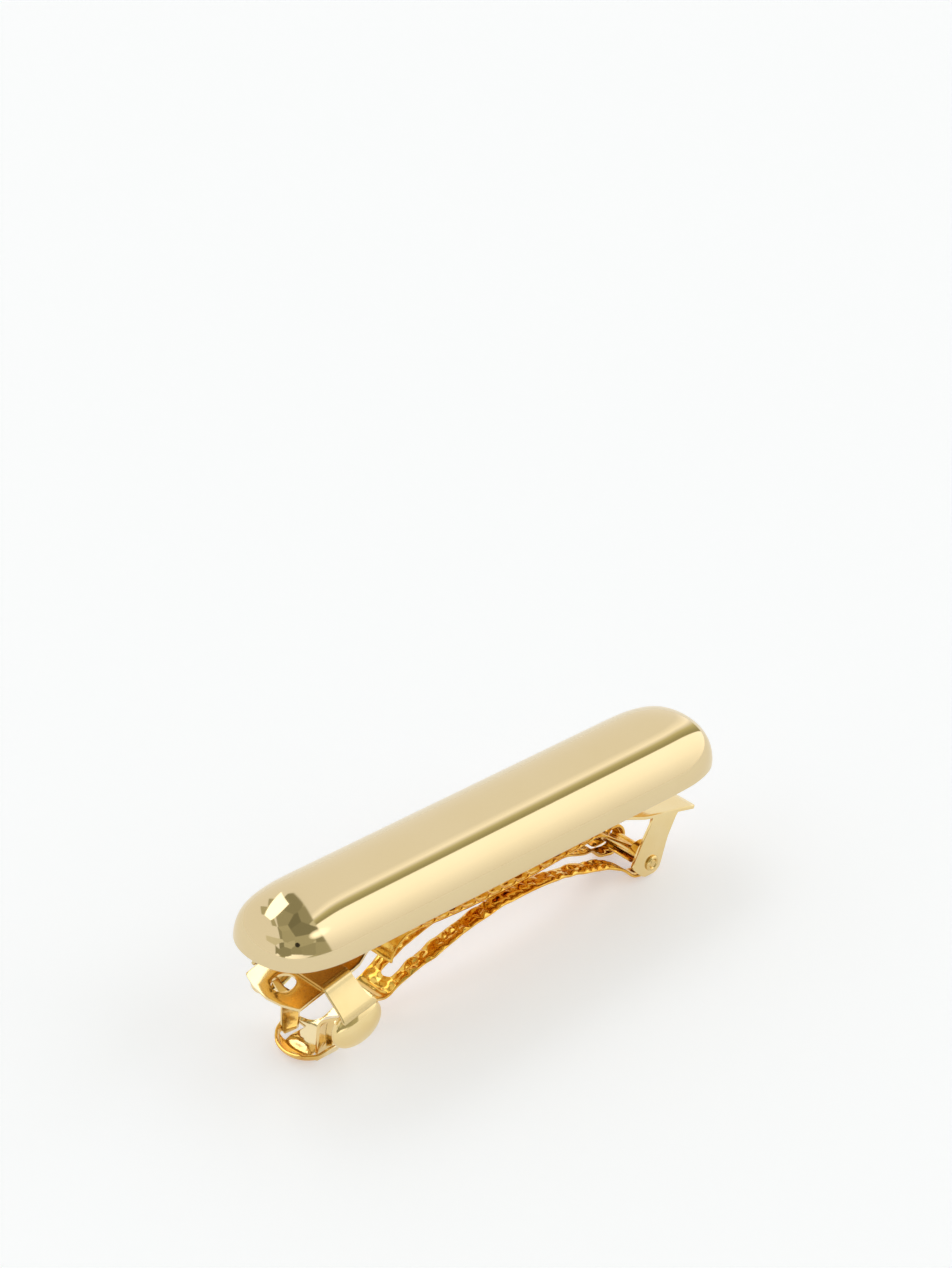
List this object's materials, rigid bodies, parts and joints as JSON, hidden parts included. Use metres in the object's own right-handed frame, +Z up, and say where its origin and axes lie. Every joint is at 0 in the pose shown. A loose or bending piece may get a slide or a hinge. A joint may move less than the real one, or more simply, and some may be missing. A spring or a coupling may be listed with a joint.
{
  "type": "hair barrette",
  "caption": "Hair barrette with a pill-shaped domed metal cover on a sprung base plate, a hinged slotted arm, a tension bar and a squeeze clasp.",
  "frame": {"origin": "under the middle of the cover, at the height of the lowest point of the closed clip", "axes": "+X along the clip from the clasp to the hinge, +Y across it, +Z up through the cover"},
  "size_m": [0.08, 0.0184, 0.025],
  "materials": {
    "cover": "polished, gold electroplated",
    "cover_back": "satin, gold electroplated",
    "pads": "dull solder",
    "clip": "polished, gold electroplated",
    "arm": "embossed and gold electroplated",
    "spring": "gold electroplated spring steel",
    "pin": "polished, gold electroplated"
  },
  "bodies": {
    "base": {"cover_shell": "cover", "cover_back": "cover_back", "mounting_pads": "pads", "base_plate": "clip", "clasp_saddle": "clip", "hinge_pin": "pin"},
    "arm": {"lower_arm": "arm"},
    "bar": {"tension_bar": "spring"},
    "near_leg": {"near_catch": "spring"},
    "far_leg": {"far_catch": "spring"}
  },
  "joints": [
    {"name": "arm_hinge", "type": "hinge", "parent": "base", "child": "arm", "pos_m": [0.0281, 0, 0.0056], "axis": [0, -1, 0], "range_deg": [0, 95]},
    {"name": "bar_hinge", "type": "hinge", "parent": "base", "child": "bar", "pos_m": [0.0281, 0, 0.0056], "axis": [0, -1, 0], "range_deg": [0, 25]},
    {"name": "near_squeeze", "type": "hinge", "parent": "base", "child": "near_leg", "pos_m": [-0.03005, -0.0053, 0.01255], "axis": [0.977, 0, 0.213], "range_deg": [0, 3.5], "stiffness_Nm_per_rad": 0.5},
    {"name": "far_squeeze", "type": "hinge", "parent": "base", "child": "far_leg", "pos_m": [-0.03005, 0.0053, 0.01255], "axis": [0.977, 0, 0.213], "range_deg": [-3.5, 0], "stiffness_Nm_per_rad": 0.5}
  ],
  "couplings": [
    {"joint": "bar_hinge", "follows": "arm_hinge", "ratio": 0.25}
  ]
}
